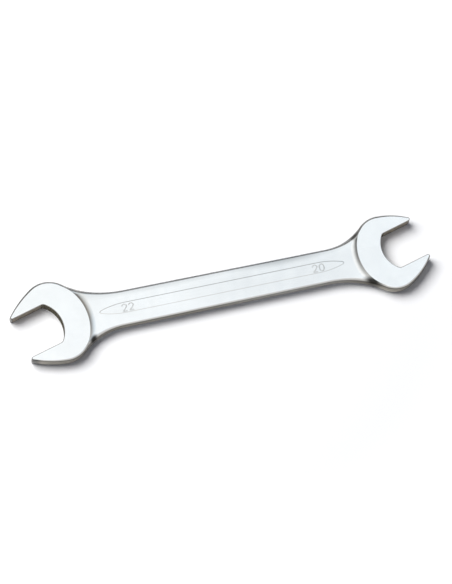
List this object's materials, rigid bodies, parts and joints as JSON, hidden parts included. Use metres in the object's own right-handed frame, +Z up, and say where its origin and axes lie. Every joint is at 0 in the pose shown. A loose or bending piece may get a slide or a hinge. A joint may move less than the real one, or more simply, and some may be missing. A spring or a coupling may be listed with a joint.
{
  "type": "double open-ended wrench",
  "caption": "Forged chrome-plated steel wrench with an open jaw at each end, both turned 15 degrees the same way, and a long raised panel on each side of a flat shank.",
  "frame": {"origin": "centre of the bounding box in plan, on the plane that both heads rest on", "axes": "+X along the shank from the 22 mm jaw to the 20 mm jaw, +Y across it in the plane of the heads, +Z up through the thickness"},
  "size_m": [0.2196, 0.044, 0.0084],
  "materials": {
    "chrome_plated_steel": "satin chrome plating on drop-forged steel"
  },
  "bodies": {
    "root": {"wrench_forging": "chrome_plated_steel"}
  },
  "joints": []
}
